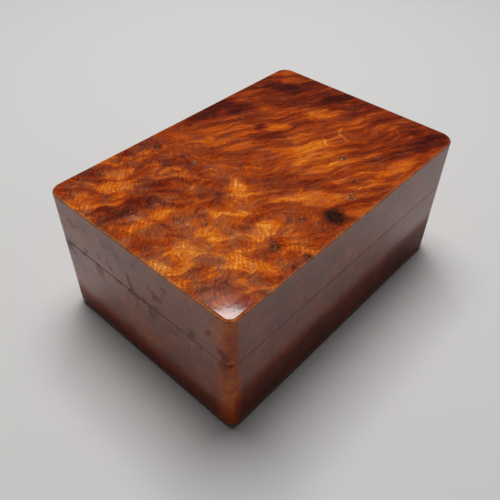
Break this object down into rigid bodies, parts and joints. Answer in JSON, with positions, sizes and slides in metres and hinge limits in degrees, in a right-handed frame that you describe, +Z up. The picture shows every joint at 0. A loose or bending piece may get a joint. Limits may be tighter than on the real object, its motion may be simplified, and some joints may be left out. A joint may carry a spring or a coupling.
{
  "type": "keepsake box",
  "caption": "Small rectangular burl-wood keepsake box with mitred walls, a lid on mortised brass butt hinges, cloth linings and a felt pad underneath.",
  "frame": {"origin": "middle of the face the box rests on, which is the underside of the felt pad", "axes": "+X along the long side, +Y towards the hinged long side, +Z up out of the closed lid"},
  "size_m": [0.1, 0.069, 0.044],
  "materials": {
    "top_wood": "high-gloss lacquered burl, amber to dark red-brown",
    "side_wood": "glossy lacquered red-brown burl",
    "hinge_brass": "brushed brass with a light patina",
    "screw_brass": "turned brass",
    "lining_cloth": "short-pile velvet",
    "felt": "pressed felt"
  },
  "bodies": {
    "base": {"base_front_wall": "side_wood", "base_back_wall": "side_wood", "base_left_wall": "side_wood", "base_right_wall": "side_wood", "base_floor_panel": "side_wood", "base_felt_pad": "felt", "base_lining": "lining_cloth", "left_hinge_base_leaf": "hinge_brass", "right_hinge_base_leaf": "hinge_brass", "left_hinge_pin": "hinge_brass", "right_hinge_pin": "hinge_brass", "base_hinge_screws": "screw_brass"},
    "lid": {"lid_top_panel": "top_wood", "lid_front_wall": "side_wood", "lid_back_wall": "side_wood", "lid_left_wall": "side_wood", "lid_right_wall": "side_wood", "lid_lining": "lining_cloth", "left_hinge_lid_leaf": "hinge_brass", "right_hinge_lid_leaf": "hinge_brass", "lid_hinge_screws": "screw_brass"}
  },
  "joints": [
    {"name": "lid_hinge", "type": "hinge", "parent": "base", "child": "lid", "pos_m": [0, 0.0333, 0.028], "axis": [-1, 0, 0], "range_deg": [0, 100]}
  ]
}
